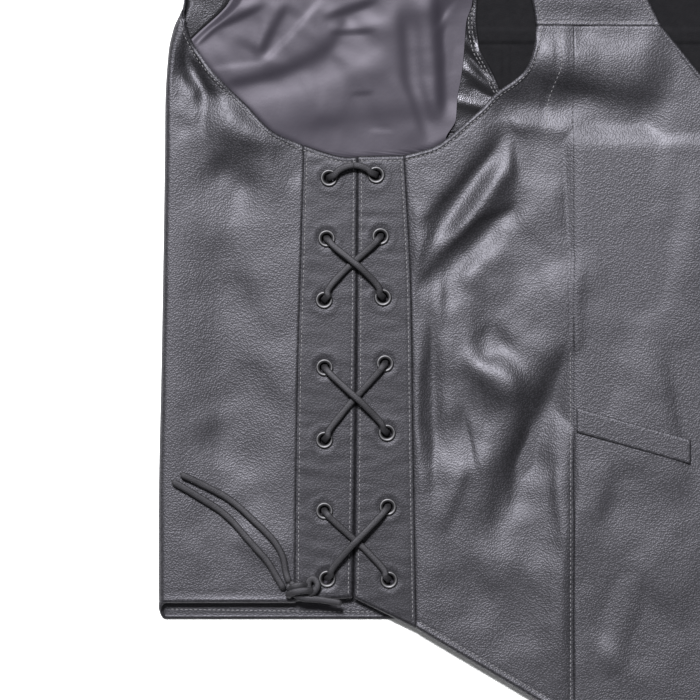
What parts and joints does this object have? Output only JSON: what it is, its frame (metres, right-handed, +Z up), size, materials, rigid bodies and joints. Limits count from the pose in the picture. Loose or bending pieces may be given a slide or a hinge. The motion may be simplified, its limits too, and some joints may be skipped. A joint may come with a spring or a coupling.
{
  "type": "side-laced leather vest laid flat",
  "caption": "Sleeveless black leather vest with pointed front hem, satin lining and eyelet lacing down each side, lying flat with its right side up.",
  "frame": {"origin": "middle of the underside, on the surface that the vest lies on", "axes": "+X across the vest as it lies, towards its centre front, +Y from the hem to the shoulders, +Z up"},
  "size_m": [0.4664, 0.694, 0.0177],
  "materials": {
    "leather": "pebbled black leather, half gloss",
    "facing": "smooth black leather",
    "satin": "grey mauve satin",
    "eyelet": "gunmetal",
    "lace": "matt black leather lace"
  },
  "bodies": {
    "root": {"back_panel": "leather", "right_side_front": "leather", "right_centre_front": "leather", "right_yoke": "leather", "left_side_front": "leather", "left_centre_front": "leather", "left_yoke": "leather", "right_back_strip": "leather", "right_front_strip": "leather", "left_back_strip": "leather", "left_front_strip": "leather", "right_pocket_welt": "leather", "left_pocket_welt": "leather", "right_armhole_facing": "facing", "left_armhole_facing": "facing", "left_front_facing": "facing", "back_lining": "satin", "right_back_eyelet_1": "eyelet", "right_front_eyelet_1": "eyelet", "left_back_eyelet_1": "eyelet", "left_front_eyelet_1": "eyelet", "right_back_eyelet_2": "eyelet", "right_front_eyelet_2": "eyelet", "left_back_eyelet_2": "eyelet", "left_front_eyelet_2": "eyelet", "right_back_eyelet_3": "eyelet", "right_front_eyelet_3": "eyelet", "left_back_eyelet_3": "eyelet", "left_front_eyelet_3": "eyelet", "right_back_eyelet_4": "eyelet", "right_front_eyelet_4": "eyelet", "left_back_eyelet_4": "eyelet", "left_front_eyelet_4": "eyelet", "right_back_eyelet_5": "eyelet", "right_front_eyelet_5": "eyelet", "left_back_eyelet_5": "eyelet", "left_front_eyelet_5": "eyelet", "right_back_eyelet_6": "eyelet", "right_front_eyelet_6": "eyelet", "left_back_eyelet_6": "eyelet", "left_front_eyelet_6": "eyelet", "right_back_eyelet_7": "eyelet", "right_front_eyelet_7": "eyelet", "left_back_eyelet_7": "eyelet", "left_front_eyelet_7": "eyelet", "lace_right_1": "lace", "lace_right_2": "lace", "lace_right_knot": "lace", "lace_right_end_1": "lace", "lace_right_end_2": "lace", "lace_left_bar": "lace", "lace_left_cross_1": "lace", "lace_left_cross_2": "lace", "lace_left_cross_3": "lace"}
  },
  "joints": []
}
